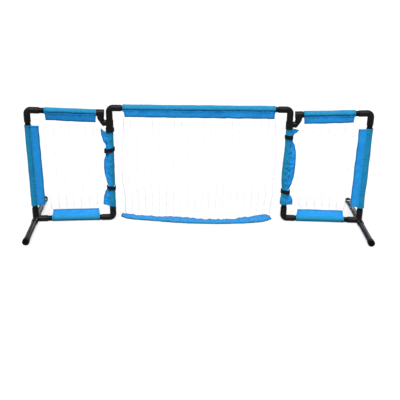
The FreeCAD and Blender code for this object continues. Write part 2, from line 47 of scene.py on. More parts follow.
# The studio. A pale floor runs out to a white background. A soft key light stands high in front, and a weaker
# one low behind puts a glint on the tubes. The floor keeps the net's shadow.
FLOOR_SIZE = 160.0
FLOOR_GREY, FLOOR_SEEN, FLOOR_LIFT = 0.16, 0.24, 0.745
SKY_LIGHT = 0.36
LAMPS = (
    # where it shines from, strength, how wide it looks in degrees
    ("key", (-0.10, -0.62, 1.08), 3.75, 32),
    ("back", (0.10, 0.95, 0.42), 0.80, 30),
)
LAMP_DISTANCE = 3.0


def node_maker(tree):
    """A maker of nodes for one tree, which links or sets their inputs as they are made."""
    def add(kind, inputs=None, **settings):
        node = tree.nodes.new("ShaderNode" + kind)
        for key, value in settings.items():
            setattr(node, key, value)
        for key, value in (inputs or {}).items():
            if isinstance(value, bpy.types.NodeSocket):
                tree.links.new(value, node.inputs[key])
            else:
                node.inputs[key].default_value = value
        return node

    return add


def new_material(name):
    """A material with its Principled shader, a maker of its nodes, and a way to wire them to the shader."""
    material = bpy.data.materials.new(name)
    material.use_nodes = True
    tree = material.node_tree
    shader = tree.nodes["Principled BSDF"]

    def wire(output, socket):
        tree.links.new(output, shader.inputs[socket])

    return material, shader, node_maker(tree), wire


def seen_directly(add):
    """1 where the camera, a reflection or a clear piece shows the surface, and 0 where it lights others."""
    path = add("LightPath")
    seen = add("Math", {0: path.outputs["Is Camera Ray"], 1: path.outputs["Is Glossy Ray"]},
               operation="MAXIMUM")
    seen = add("Math", {0: seen.outputs[0], 1: path.outputs["Is Transmission Ray"]}, operation="MAXIMUM")
    return seen.outputs[0]


def lay_floor():
    bm = bmesh.new()
    bmesh.ops.create_grid(bm, x_segments=1, y_segments=1, size=FLOOR_SIZE / 2)
    mesh = bpy.data.meshes.new("floor")
    bm.to_mesh(mesh)
    bm.free()
    floor = bpy.data.objects.new("floor", mesh)
    bpy.context.collection.objects.link(floor)
    material, shader, add, wire = new_material("pale_floor")
    seen = seen_directly(add)
    colour = add("Mix", {"Factor": seen}, data_type="RGBA")
    colour.inputs["A"].default_value = (FLOOR_GREY, FLOOR_GREY, FLOOR_GREY, 1)
    colour.inputs["B"].default_value = (FLOOR_SEEN, FLOOR_SEEN, FLOOR_SEEN, 1)
    lift = add("Math", {0: seen, 1: FLOOR_LIFT}, operation="MULTIPLY")
    wire(colour.outputs["Result"], "Base Color")
    wire(lift.outputs[0], "Emission Strength")
    shader.inputs["Emission Color"].default_value = (1, 1, 1, 1)
    shader.inputs["Roughness"].default_value = 1.0
    shader.inputs["Specular IOR Level"].default_value = 0.0
    mesh.materials.append(material)


def light_studio():
    world = bpy.data.worlds.new("studio")
    world.use_nodes = True
    tree = world.node_tree
    add = node_maker(tree)
    strength = add("Mix", {"Factor": seen_directly(add), "A": SKY_LIGHT, "B": 1.0})
    tree.links.new(strength.outputs["Result"], tree.nodes["Background"].inputs["Strength"])
    tree.nodes["Background"].inputs["Color"].default_value = (1, 1, 1, 1)
    bpy.context.scene.world = world
    for name, place, strength, width in LAMPS:
        lamp = bpy.data.lights.new(name, "SUN")
        lamp.energy, lamp.angle = strength, math.radians(width)
        holder = bpy.data.objects.new(name, lamp)
        holder.location = Vector(place) * LAMP_DISTANCE
        holder.rotation_euler = (-Vector(place)).to_track_quat("-Z", "Y").to_euler()
        bpy.context.collection.objects.link(holder)


lay_floor()
light_studio()
bpy.context.scene.view_settings.view_transform = "Standard"

# The camera. It stands 2.5 m in front of the net, a little left of its middle and 1 m above the floor,
# and looks down at it, tipped a little to one side.
CAMERA_PLACE = (-0.0666, -2.4767, 1.0323)
CAMERA_YAW, CAMERA_PITCH, CAMERA_ROLL = 1.653, 20.436, 0.902
CAMERA_LENS = 52.2


def set_camera():
    camera = bpy.data.cameras.new("camera")
    camera.lens = CAMERA_LENS
    holder = bpy.data.objects.new("camera", camera)
    turn = (Matrix.Rotation(math.radians(-CAMERA_YAW), 4, "Z")
            @ Matrix.Rotation(math.radians(90 - CAMERA_PITCH), 4, "X")
            @ Matrix.Rotation(math.radians(CAMERA_ROLL), 4, "Z"))
    holder.matrix_world = Matrix.Translation(CAMERA_PLACE) @ turn
    bpy.context.collection.objects.link(holder)
    bpy.context.scene.camera = holder


set_camera()

# The tubes: black drawn plastic with a soft gloss. The drawing die leaves faint streaks along them, and
# pushing them in and out of the sockets scuffs them.
TUBES = [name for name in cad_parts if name.endswith(("_post", "_rail", "_foot"))]
STREAKS_ALONG, STREAKS_ACROSS = 3.0, 900.0


def tube_ends(node):
    """The middles of a straight tube's two ends, from the rings of points of its own mesh."""
    points = {tuple(round(c, 6) for c in v.co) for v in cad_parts[node].data.vertices}
    points = [Vector(p) for p in sorted(points)]
    middle = sum(points, Vector()) / len(points)
    along = max(points, key=lambda p: (p - middle).length) - middle
    near = [p for p in points if (p - middle).dot(along) < 0]
    far = [p for p in points if (p - middle).dot(along) >= 0]
    return sum(near, Vector()) / len(near), sum(far, Vector()) / len(far)


def two_tones(add, factor, *stops):
    """A colour that runs between two stops, each a place and a colour."""
    tone = add("ValToRGB", {"Fac": factor})
    for stop, (place, colour) in zip(tone.color_ramp.elements, stops):
        stop.position, stop.color = place, (*colour, 1)
    return tone.outputs["Color"]


def tube_material(direction):
    """Plastic whose streaks run along the given direction, x, y or z."""
    material, shader, add, wire = new_material(f"tube_along_{direction}")
    at = add("TexCoord")
    stretch = tuple(STREAKS_ALONG if axis == direction else STREAKS_ACROSS for axis in "xyz")
    drawn = add("Mapping", {"Vector": at.outputs["Object"], "Scale": stretch})
    streaks = add("TexNoise", {"Vector": drawn.outputs[0], "Scale": 1.0, "Detail": 3.0})
    scuffs = add("TexNoise", {"Vector": at.outputs["Object"], "Scale": 55.0, "Detail": 6.0, "Roughness": 0.7})
    tone = two_tones(add, scuffs.outputs["Fac"], (0.35, (0.0026, 0.0038, 0.0058)),
                     (0.75, (0.0070, 0.0092, 0.0125)))
    gloss = add("MapRange", {"Value": streaks.outputs["Fac"], "From Min": 0.3, "From Max": 0.7,
                             "To Min": 0.15, "To Max": 0.30})
    bump = add("Bump", {"Height": streaks.outputs["Fac"], "Strength": 0.05, "Distance": 0.0002})
    wire(tone, "Base Color")
    wire(gloss.outputs["Result"], "Roughness")
    wire(bump.outputs["Normal"], "Normal")
    shader.inputs["Specular IOR Level"].default_value = 0.05
    shader.inputs["Specular Tint"].default_value = (0.62, 0.84, 1.0, 1)
    return material


def paint(piece, material):
    piece.data.materials.clear()
    piece.data.materials.append(material)


def dress_tubes():
    materials = {direction: tube_material(direction) for direction in "xyz"}
    for name in TUBES:
        start, end = tube_ends(name)
        run = [abs(c) for c in end - start]
        paint(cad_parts[name], materials["xyz"[run.index(max(run))]])


dress_tubes()

# The fittings: elbows, hubs and offset tees, injection moulded in black plastic with a fine satin grain, and
# the caps on the feet. They are push fits on the tubes. Each is moulded in two halves, which leaves a fine
# parting line round it, and its rims are slightly rounded.
FITTINGS = [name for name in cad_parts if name.endswith(("_elbow", "_hub", "_tee", "_cap"))]
RIM_ROUND, RIM_ANGLE = 0.55 * MM, math.radians(35)
PARTING_LINE = 0.16 * MM
WELD, FLAT = 1e-6, math.radians(0.5)
UP = Vector((0, 0, 1))


def moulded_material(name, dark, light, roughness, shine):
    """Satin plastic with a parting line where the mesh's parting attribute is zero."""
    material, shader, add, wire = new_material(name)
    at = add("TexCoord")
    grain = add("TexNoise", {"Vector": at.outputs["Object"], "Scale": 1400.0, "Detail": 2.0})
    scuffs = add("TexNoise", {"Vector": at.outputs["Object"], "Scale": 40.0, "Detail": 7.0,
                              "Roughness": 0.65})
    tone = two_tones(add, scuffs.outputs["Fac"], (0.38, dark), (0.75, light))
    gloss = add("MapRange", {"Value": scuffs.outputs["Fac"], "From Min": 0.3, "From Max": 0.7,
                             "To Min": roughness - 0.06, "To Max": roughness + 0.08})
    parting = add("Attribute", attribute_name="parting")
    off = add("Math", {0: parting.outputs["Fac"]}, operation="ABSOLUTE")
    ridge = add("MapRange", {"Value": off.outputs[0], "From Min": 0.0, "From Max": 2 * PARTING_LINE,
                             "To Min": 1.0, "To Max": 0.0})
    height = add("Math", {0: grain.outputs["Fac"], 1: 0.12, 2: ridge.outputs["Result"]},
                 operation="MULTIPLY_ADD")
    bump = add("Bump", {"Height": height.outputs[0], "Strength": 1.0, "Distance": 0.00012})
    wire(tone, "Base Color")
    wire(gloss.outputs["Result"], "Roughness")
    wire(bump.outputs["Normal"], "Normal")
    shader.inputs["Specular IOR Level"].default_value = shine
    return material


def parting_plane(name):
    """A point and the direction of the plane in which a fitting's two halves meet."""
    low, high = (Vector(corner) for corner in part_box(name))
    side = name.split("_")[0]
    if side == "middle":
        return (low + high) / 2, Vector((0, 1, 0))
    post, outer = tube_ends(f"{side}_inner_post")[0], tube_ends(f"{side}_outer_post")[0]
    across = Vector((outer.y - post.y, post.x - outer.x, 0)).normalized()
    if name.endswith("_cap"):
        return tube_ends(name.removesuffix("_cap"))[0], UP
    return post, across


def body_of(name):
    """The body that the CAD part of this name rides on."""
    side = name.split("_")[0]
    return "middle_panel" if side == "middle" else f"{side}_wing"


def round_edges(piece, width, angle):
    """Round the edges of a piece where it turns by more than the angle."""
    bevel = piece.modifiers.new("edges", "BEVEL")
    bevel.width, bevel.segments = width, 2
    bevel.limit_method, bevel.angle_limit = "ANGLE", angle


def mould_fitting(name, material):
    """A fitting with its CAD part's shape, and with rounded rims."""
    bm = bmesh.new()
    bm.from_mesh(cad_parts[name].data)
    bmesh.ops.remove_doubles(bm, verts=bm.verts, dist=WELD)
    bmesh.ops.dissolve_limit(bm, angle_limit=FLAT, verts=bm.verts, edges=bm.edges)
    middle, across = parting_plane(name)
    parting = bm.verts.layers.float.new("parting")
    for vert in bm.verts:
        vert[parting] = (vert.co - middle).dot(across)
    for face in bm.faces:
        face.smooth = True
    mesh = bpy.data.meshes.new(name)
    bm.to_mesh(mesh)
    bm.free()
    mesh.set_sharp_from_angle(angle=RIM_ANGLE)
    mesh.materials.append(material)
    piece = bpy.data.objects.new(name + "_moulded", mesh)
    bpy.context.collection.objects.link(piece)
    round_edges(piece, RIM_ROUND, RIM_ANGLE)
    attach(piece, body_of(name))
    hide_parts(name)


fitting_plastic = moulded_material("moulded_fitting", (0.0028, 0.0027, 0.0027), (0.0085, 0.0081, 0.0079),
                                   0.42, 0.10)
cap_plastic = moulded_material("moulded_cap", (0.0018, 0.0018, 0.0019), (0.0050, 0.0048, 0.0048), 0.50, 0.04)
for name in FITTINGS:
    cap = name.endswith("_cap")
    mould_fitting(name, cap_plastic if cap else fitting_plastic)

# The sleeves: light blue woven polyester. A strip is hemmed at its ends, folded over its tube and sewn shut
# beside it, and the doubled edge beyond that seam is a flap that holds the net. The seam gathers the cloth on
# both sides. Over the black tube the thin cloth looks darker and greener than where it lies double. Most of
# the sleeves have slipped round on their tubes, so that the seam comes off in front.
CLOTH = 0.5 * MM
CELL = 2.1 * MM
TUNNEL_R = 13.1 * MM
SEAM_DROP = 14.3 * MM
SEAM_GAP = 0.8 * MM
FLAPS = {"middle": 38 * MM, "top": 38 * MM, "outer": 40 * MM, "bottom": 28 * MM}
TURN = math.pi - math.acos(TUNNEL_R / SEAM_DROP)
ROUND_LENGTH = TUNNEL_R * TURN
RUN_LENGTH = math.sqrt(SEAM_DROP ** 2 - TUNNEL_R ** 2)
SEAM_AT = ROUND_LENGTH + RUN_LENGTH
STITCH_PITCH, STITCH_LENGTH, THREAD = 3.4 * MM, 2.6 * MM, 0.26 * MM
THREAD_PROUD, ROW_MARGIN = 0.10 * MM, 2 * MM
SEAM_STITCH, EDGE_STITCH, END_STITCH = SEAM_AT + 0.4 * MM, 3.5 * MM, 7.5 * MM
END_HEM, END_HEM_RISE = 5 * MM, 0.35 * MM
GATHER, GATHER_FADE, PUCKER_WIDTH = 8.5 * MM, 10 * MM, 7 * MM
WEAVE = 420.0
GROOVE = (0.2 * MM, 1.4 * MM)
# the band inside the free edge over which its painted shade deepens
PAINTED_EDGE_SHADE_BAND = (9 * MM, 5 * MM)
# how dark the painted shade is in the stitch grooves and in the band inside the edge
PAINTED_SEAM_SHADE, PAINTED_EDGE_SHADE = 0.72, 0.76
SLEEVES = {
    # in mm: shift of its two ends, inset of the flap at them, reach of the flap at them, how far the tunnel
    # stands off the far side of its tube, how deep its seam puckers; in degrees: how far its seam has slipped
    # to the front, how far the flap leans to the front
    "middle_sleeve": ((-4.5, -3.0), (8.0, 3.0), (36.2, 38.7), 2.8, 5.0, 68, 0),
    "left_top_sleeve": ((-1.5, -3.0), (2.6, 5.4), (40.5, 39.0), 0.6, 5.4, 72, -10),
    "left_outer_sleeve": ((3.0, 1.0), (5.0, 1.5), (49.2, 46.2), 2.2, 1.6, 38, -3),
    "left_bottom_sleeve": ((0.5, -1.5), (4.2, 4.2), (38.0, 36.7), 0.7, 1.2, -20, -28),
    "right_top_sleeve": ((2.5, 2.5), (1.9, 6.7), (39.0, 37.0), 2.4, 6.2, 70, 0),
    "right_outer_sleeve": ((-0.5, -0.5), (10.0, 3.0), (47.9, 46.5), 4.2, 1.6, 42, -8),
    "right_bottom_sleeve": ((-0.8, 1.4), (7.2, 4.2), (38.0, 38.0), 0.6, 1.4, -20, -28),
}


def ease(x):
    """From 0 to 1 with a soft start and end."""
    x = min(1.0, max(0.0, x))
    return x * x * (3 - 2 * x)


def wander(seed, x, y=0.0):
    """A smooth random value from about -1 to 1. The place is counted in lengths of its waves."""
    return 1.6 * noise.noise(Vector((x + 31.7 * seed, y + 7.3 * seed, 3.1 * seed)))


def cloth_material(name, doubling_and_shade, lines, edge, painted_light=1.0):
    """Woven cloth. The cloth map is the flat cut in metres, and the ends map its distances from both ends. It
    turns from single to double over a pair of distances from its middle line; where that pair reaches past a
    seam, or lies along the hem's front fold, the darker single colour is painted shade. It is sewn along each
    line, at END_STITCH from both ends, and turned in along its edge; the stitch grooves and a band just
    inside the edge are darkened as painted shade. The painted light makes the whole piece lighter or darker
    than the
    plain cloth: above 1 it is painted light, below 1 painted shade."""
    material, shader, add, wire = new_material(name)
    cut = add("UVMap", uv_map="cloth")
    across = add("SeparateXYZ", {0: cut.outputs["UV"]})
    depth = add("Math", {0: across.outputs["Y"]}, operation="ABSOLUTE").outputs[0]
    ends = add("SeparateXYZ", {0: add("UVMap", uv_map="ends").outputs["UV"]})
    end = add("Math", {0: ends.outputs["X"], 1: ends.outputs["Y"]}, operation="MINIMUM").outputs[0]
    sewn = None
    for value, line in [(depth, line) for line in lines] + [(end, END_STITCH)]:
        off = add("Math", {0: value, 1: line}, operation="SUBTRACT")
        off = add("Math", {0: off.outputs[0]}, operation="ABSOLUTE")
        groove = add("MapRange", {"Value": off.outputs[0], "From Min": GROOVE[0], "From Max": GROOVE[1],
                                  "To Min": 1.0, "To Max": 0.0}, interpolation_type="SMOOTHSTEP")
        groove = groove.outputs["Result"]
        sewn = groove if sewn is None else add("Math", {0: sewn, 1: groove}, operation="MAXIMUM").outputs[0]
    doubled_unshaded = add("MapRange", {"Value": depth, "From Min": doubling_and_shade[0], "From Max": doubling_and_shade[1]},
                  interpolation_type="SMOOTHSTEP").outputs["Result"]

    cloud = add("TexNoise", {"Vector": cut.outputs["UV"], "Scale": 45.0, "Detail": 5.0, "Roughness": 0.75})
    slubs = add("Mapping", {"Vector": cut.outputs["UV"], "Scale": (90.0, 1300.0, 1.0)})
    slubs = add("TexNoise", {"Vector": slubs.outputs[0], "Scale": 1.0, "Detail": 3.0})
    mixed = add("Math", {0: cloud.outputs["Fac"], 1: slubs.outputs["Fac"]}, operation="ADD")
    tone = add("MapRange", {"Value": mixed.outputs[0], "From Min": 0.7, "From Max": 1.3}).outputs["Result"]
    # the tunnel's darker colour over the tube, which also serves as painted shade beside the seam and along
    # the hem's fold
    over_tube_and_shade = add("Mix", {"Factor": tone, "A": (0.006, 0.180, 0.350, 1), "B": (0.014, 0.260, 0.495, 1)},
                    data_type="RGBA")
    alone = add("Mix", {"Factor": tone, "A": (0.010, 0.235, 0.615, 1), "B": (0.020, 0.325, 0.815, 1)},
                data_type="RGBA")
    colour = add("Mix", {"Factor": doubled_unshaded, "A": over_tube_and_shade.outputs["Result"], "B": alone.outputs["Result"]},
                 data_type="RGBA")
    # painted shade: a band just inside the free edge is darkened as the shade of its rolled-under edge
    painted_edge_darkening = add("MapRange", {"Value": depth, "From Min": edge - PAINTED_EDGE_SHADE_BAND[0],
                                 "From Max": edge - PAINTED_EDGE_SHADE_BAND[1], "To Min": 1.0,
                                 "To Max": PAINTED_EDGE_SHADE}).outputs["Result"]
    # painted shade: the cloth is darker in the stitch grooves, and the painted light makes the whole piece
    # lighter or darker
    shade = add("MapRange", {"Value": sewn, "To Min": painted_light, "To Max": PAINTED_SEAM_SHADE * painted_light}).outputs["Result"]
    shade = add("Math", {0: shade, 1: painted_edge_darkening}, operation="MULTIPLY").outputs[0]
    colour = add("Mix", {"Factor": 1.0, "A": colour.outputs["Result"], "B": shade}, data_type="RGBA",
                 blend_type="MULTIPLY")

    warp, weft = (add("TexWave", {"Vector": cut.outputs["UV"], "Scale": WEAVE}, wave_type="BANDS",
                      bands_direction=way).outputs["Fac"] for way in "XY")
    weave = add("Math", {0: warp, 1: weft}, operation="MAXIMUM")
    height = add("Math", {0: slubs.outputs["Fac"], 1: 0.8, 2: weave.outputs[0]}, operation="MULTIPLY_ADD")
    fine = add("Bump", {"Height": height.outputs[0], "Strength": 0.30, "Distance": 0.0002})
    deep = add("Bump", {"Height": sewn, "Strength": 1.0, "Distance": 0.0005,
                        "Normal": fine.outputs["Normal"]}, invert=True)
    wire(colour.outputs["Result"], "Base Color")
    wire(deep.outputs["Normal"], "Normal")
    shader.inputs["Roughness"].default_value = 0.68
    shader.inputs["Specular IOR Level"].default_value = 0.17
    shader.inputs["Sheen Weight"].default_value = 0.06
    shader.inputs["Sheen Roughness"].default_value = 0.4
    shader.inputs["Sheen Tint"].default_value = (0.15, 0.75, 1.0, 1)
    return material


def thread_material():
    material, shader, add, wire = new_material("blue_thread")
    at = add("TexCoord")
    twist = add("TexNoise", {"Vector": at.outputs["Object"], "Scale": 2500.0, "Detail": 1.0})
    colour = add("Mix", {"Factor": twist.outputs["Fac"], "A": (0.004, 0.09, 0.24, 1),
                         "B": (0.010, 0.16, 0.38, 1)}, data_type="RGBA")
    wire(colour.outputs["Result"], "Base Color")
    shader.inputs["Roughness"].default_value = 0.55
    shader.inputs["Specular IOR Level"].default_value = 0.2
    return material


def flat_cloth(length, width, cell=CELL):
    """A flat cut of cloth from x = 0 to its length and y = -width/2 to width/2, with its two maps."""
    bm = bmesh.new()
    place = Matrix.Translation((length / 2, 0, 0)) @ Matrix.Diagonal((length, width, 1, 1))
    bmesh.ops.create_grid(bm, x_segments=round(length / cell), y_segments=2 * round(width / cell / 2),
                          size=0.5, matrix=place)
    cut, ends = bm.loops.layers.uv.new("cloth"), bm.loops.layers.uv.new("ends")
    for face in bm.faces:
        for corner in face.loops:
            corner[cut].uv = corner.vert.co.xy
            corner[ends].uv = (corner.vert.co.x, length - corner.vert.co.x)
    return bm


def finish_piece(bm, name, body, material, wall=0.0):
    """The object of a finished mesh, smooth shaded, with a wall of the given thickness."""
    mesh = bpy.data.meshes.new(name)
    bm.to_mesh(mesh)
    bm.free()
    mesh.shade_smooth()
    mesh.materials.append(material)
    piece = bpy.data.objects.new(name, mesh)
    bpy.context.collection.objects.link(piece)
    if wall:
        solid = piece.modifiers.new("wall", "SOLIDIFY")
        solid.thickness, solid.offset, solid.use_even_offset = wall, 0.0, False
    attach(piece, body)
    return piece


def gathers(seed, x, deep):
    """Creases that run out of a seam, from 0 in a crease to 1 between two, fading with the depth from it."""
    strong = 0.5 + 0.5 * ease(0.5 + 1.5 * wander(seed + 5, x / 0.05))
    puff = min(1.0, 3.0 * abs(wander(seed, x / GATHER, deep / 0.03)))
    rise = min(1.0, deep / (3.5 * MM))
    return puff * strong * rise * math.exp(-deep / GATHER_FADE)


def sleeve_point(name, at, across):
    """Where a point of the flat strip goes when the sleeve is folded and sewn: X along the tube, the flap
    towards -Z. The point lies at a length along the strip and a distance across it from its middle."""
    length, wide, insets, reaches, loft, pucker, slip, lean, seed = SLEEVE_CUTS[name]
    side = 1 if across >= 0 else -1
    depth = abs(across)
    hung = max(0.0, depth - SEAM_AT)
    flap = hung / wide
    share = at / length
    inset = ease(flap * 4) * 0.35 + 0.65 * flap
    x = insets[0] * inset + (length - (insets[0] + insets[1]) * inset) * share
    seen = seed + 40 * side
    pucker *= 1.0 if side * slip > 0 else 0.3
    slack = 0.5 + wander(seen + 2, x / 0.05 + depth / 0.045, depth / 0.06)
    end_hem = END_HEM_RISE * (1 - ease((min(at, length - at) - END_HEM) / (3 * MM)))
    if depth <= SEAM_AT:
        below = SEAM_AT - depth
        loose = ease((depth - 0.25 * ROUND_LENGTH) / (0.7 * ROUND_LENGTH))
        lift = pucker * gathers(seen, x, below) + 1.1 * MM * loose * max(0.0, slack) * min(1, below / 0.006)
        lift += loft * (0.75 + 0.35 * wander(seed + 8, x / 0.06)) * (1 - loose) + end_hem
        lift += 0.75 * pucker * below / PUCKER_WIDTH * math.exp(1 - below / PUCKER_WIDTH)
        if depth <= ROUND_LENGTH:
            angle = depth / TUNNEL_R
            y, z = TUNNEL_R * math.sin(angle), TUNNEL_R * math.cos(angle)
        else:
            angle = TURN
            run = (depth - ROUND_LENGTH) / RUN_LENGTH
            y = TUNNEL_R * math.sin(TURN) * (1 - run) + SEAM_GAP * run
            z = TUNNEL_R * math.cos(TURN) * (1 - run) - SEAM_DROP * run
        tilt, y, z = slip, side * (y + lift * math.sin(angle)), z + SEAM_DROP + lift * math.cos(angle)
    else:
        y = SEAM_GAP + end_hem + 0.9 * MM * math.sin(math.pi * flap) * (0.5 + max(0.0, slack))
        y += 0.8 * pucker * gathers(seen, x, hung)
        ripple = 0.35 * MM * wander(seen + 7, x / 0.006)
        y += ripple * ease((flap - 0.7) / 0.25) * (1 - ease((flap - 0.9) / 0.1))
        run = (reaches[0] + (reaches[1] - reaches[0]) * share - SEAM_DROP * math.cos(slip)) / math.cos(lean)
        under = 0.38 * math.exp(-hung / (7 * MM)) * (1 - math.exp(-hung / (2 * MM)))
        tilt, y, z = lean + (slip - lean) * (math.exp(-hung / (3 * MM)) - under), side * y, -run * flap
        z += 1.1 * MM * wander(seed + 6, x / 0.045) * flap
    y += 2.0 * MM * wander(seed + 9, x / 0.09) * flap + 0.8 * MM * wander(seed + 3, x / 0.03) * flap
    y += 0.8 * MM * wander(seed + 4, x / 0.011) * math.exp(-((depth - SEAM_AT) / 0.006) ** 2)
    return Vector((x, y * math.cos(tilt) - z * math.sin(tilt) + SEAM_DROP * math.sin(slip),
                   y * math.sin(tilt) + z * math.cos(tilt) - SEAM_DROP * math.cos(slip)))


def add_stitches(bm, length, point):
    """A row of thread stitches along a function from a length to a point."""
    for number in range(int(length / STITCH_PITCH)):
        start = point(number * STITCH_PITCH)
        end = point(number * STITCH_PITCH + STITCH_LENGTH)
        run = end - start
        place = Matrix.Translation((start + end) / 2) @ run.to_track_quat("Z", "Y").to_matrix().to_4x4()
        bmesh.ops.create_cone(bm, cap_ends=True, segments=5, radius1=THREAD, radius2=THREAD,
                              depth=run.length, matrix=place)


def outside(name, at, across):
    """A point just proud of the sleeve's outer face, where thread lies on it."""
    step = 0.5 * MM
    where = sleeve_point(name, at, across)
    along = sleeve_point(name, at + step, across) - sleeve_point(name, at - step, across)
    over = sleeve_point(name, at, across + step) - sleeve_point(name, at, across - step)
    return where + along.cross(over).normalized() * (CLOTH / 2 + THREAD_PROUD)


def make_sleeve(name, tube, body, towards, seed):
    """A sleeve on its tube, with its flap turned to the given direction, and its rows of stitches."""
    shifts, insets, reaches = ([value * MM for value in pair] for pair in SLEEVES[name][:3])
    loft, pucker = (value * MM for value in SLEEVES[name][3:5])
    start, end = tube_ends(tube)
    along = (end - start).normalized()
    if along.dot(Vector((WING_DIRECTION.get(name.split("_")[0], 1), 0, 1))) < 0:
        along = -along
    reach = [(v.co - start).dot(along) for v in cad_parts[name].data.vertices]
    length = max(reach) + shifts[1] - min(reach) - shifts[0]
    up = -(towards - along * towards.dot(along)).normalized()
    place = Matrix((along, up.cross(along), up)).transposed().to_4x4()
    place.translation = start + along * (min(reach) + shifts[0])
    front = math.copysign(1, -place.col[1].y)
    slip, lean = (front * math.radians(value) for value in SLEEVES[name][5:])
    part = name.split("_")[-2]
    wide = FLAPS[part]
    half = SEAM_AT + wide
    SLEEVE_CUTS[name] = (length, wide, insets, reaches, loft, pucker, slip, lean, seed)
    SLEEVE_PLACES[name] = place

    bm = flat_cloth(length, 2 * half)
    for vert in bm.verts:
        vert.co = place @ sleeve_point(name, vert.co.x, vert.co.y)
    cloth = finish_piece(bm, name + "_cloth", body, SLEEVE_CLOTHS[name], CLOTH)
    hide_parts(name)

    bm = bmesh.new()
    for side in (-1, 1):
        for across in (SEAM_STITCH, half - EDGE_STITCH):
            add_stitches(bm, length - 2 * ROW_MARGIN,
                         lambda at, across=side * across: place @ outside(name, at + ROW_MARGIN, across))
    for at in (END_STITCH, length - END_STITCH):
        add_stitches(bm, 2 * half - 2 * ROW_MARGIN,
                     lambda across, at=at: place @ outside(name, at, across + ROW_MARGIN - half))
    stitches = finish_piece(bm, name + "_stitches", body, blue_thread)


# in mm from the seam: where the look of the cloth turns from single to double. The darker single colour runs
# on past the seam onto the flap, farthest on the outer and bottom sleeves, as painted shade in the valley
# beside it.
DOUBLING_AND_SEAM_SHADE = {"middle": (-6, 3), "top": (-6, 3), "outer": (-10, 14), "bottom": (-19, 9)}
# painted light: the right outer sleeve's cloth is painted lighter than the other sleeves, to look more
# brightly lit
PAINTED_LIGHTER_CLOTH = {"right_outer_sleeve": 1.12}


def sleeve_cloth(name):
    """A sleeve's cloth. The tunnel's own seam shows as a groove with painted shade on the middle and top
    sleeves only.
    """
    part = name.split("_")[-2]
    edge = SEAM_AT + FLAPS[part]
    lines = [SEAM_AT, edge - EDGE_STITCH] if part in ("middle", "top") else [edge - EDGE_STITCH]
    doubling_and_shade = [SEAM_AT + value * MM for value in DOUBLING_AND_SEAM_SHADE[part]]
    return cloth_material(f"{name}_cloth", doubling_and_shade, lines, edge, PAINTED_LIGHTER_CLOTH.get(name, 1.0))


SLEEVE_CUTS, SLEEVE_PLACES = {}, {}
WING_DIRECTION = {"left": -1, "right": 1}
SLEEVE_CLOTHS = {name: sleeve_cloth(name) for name in SLEEVES}
blue_thread = thread_material()

make_sleeve("middle_sleeve", "middle_rail", "middle_panel", -UP, 1)
for number, side in enumerate(("left", "right")):
    post, outer = tube_ends(f"{side}_inner_post")[0], tube_ends(f"{side}_outer_post")[0]
    inwards = Vector((post.x - outer.x, post.y - outer.y, 0))
    for seed, (part, tube, towards) in enumerate((("top", "top_rail", -UP), ("outer", "outer_post", inwards),
                                                  ("bottom", "bottom_rail", UP))):
        make_sleeve(f"{side}_{part}_sleeve", f"{side}_{tube}", f"{side}_wing", towards, 2 + 3 * number + seed)

# The wraps: a strip of the same cloth, folded round each inner post with its two edges towards the net, and
# held by hook-and-loop straps. The straps gather it, so folds run out of them, and its edges stand off the
# post between them: a pointed ear at the top, a belly and a skirt.
WRAP_HALF = 68 * MM
WRAP_CELL, WRAP_MARGIN = 2.2 * MM, 3 * MM
WRAP_NEAR, POST_CLEAR = 13.3, 13.2
FOLDS = 8
PINCHED, PINCH_FADE = 9, 22
WRAP_SEEDS = {"left": 21, "right": 22}
WRAPS = {
    # in mm: by height, the reach from the post's axis of the free edges and of the fold on its far side; by
    # share of the way from fold to edges, the heights of the strip's two ends; where the straps pinch it
    "left": {
        "reach": ((74, 39), (84, 42), (113, 39), (142, 31), (158, 18.5), (175, 19), (199, 25), (228, 31),
                  (256, 33), (284, 31), (313, 23), (335, 19.5), (357, 21), (380, 33), (407, 39), (426, 40)),
        "back": ((74, 14.2), (142, 14), (160, 13.6), (199, 14), (284, 14.5), (335, 14), (357, 14.4),
                 (426, 14.6)),
        "top": ((0, 424), (0.5, 422), (0.62, 416.5), (0.7, 419), (1, 433)),
        "bottom": ((0, 68), (0.5, 71), (1, 77)),
        "pinch": (160, 337),
    },
    "right": {
        "reach": ((85, 38), (102, 38), (117, 32), (132, 22), (146, 18.5), (161, 20), (190, 30), (219, 36),
                  (248, 38), (277, 39), (305, 39), (333, 37), (360, 31), (385, 19), (402, 17.5), (414, 24),
                  (426, 39), (436, 46)),
        "back": ((81, 20), (102, 20.5), (125, 17), (146, 14), (161, 15.5), (190, 19), (219, 20), (248, 19.5),
                 (277, 18), (305, 16.5), (333, 15), (360, 14), (402, 13.7), (440, 14)),
        "top": ((0, 438.5), (0.5, 438), (0.7, 437), (1, 434)),
        "bottom": ((0, 84), (1, 81)),
        "pinch": (146, 402),
    },
}


def along_table(table, x):
    """The value at x of a table of places and values, running smoothly from each to the next."""
    if x <= table[0][0]:
        return table[0][1]
    for (x0, y0), (x1, y1) in zip(table, table[1:]):
        if x <= x1:
            return y0 + (y1 - y0) * ease((x - x0) / (x1 - x0))
    return table[-1][1]


def wrap_sway(seed, height, reach, share):
    """How far the wrap's doubled edge swings out of the plane of the wing."""
    return 2.2 * wander(seed + 12, height / 42) * ease((reach - 22) / 12) * share ** 3


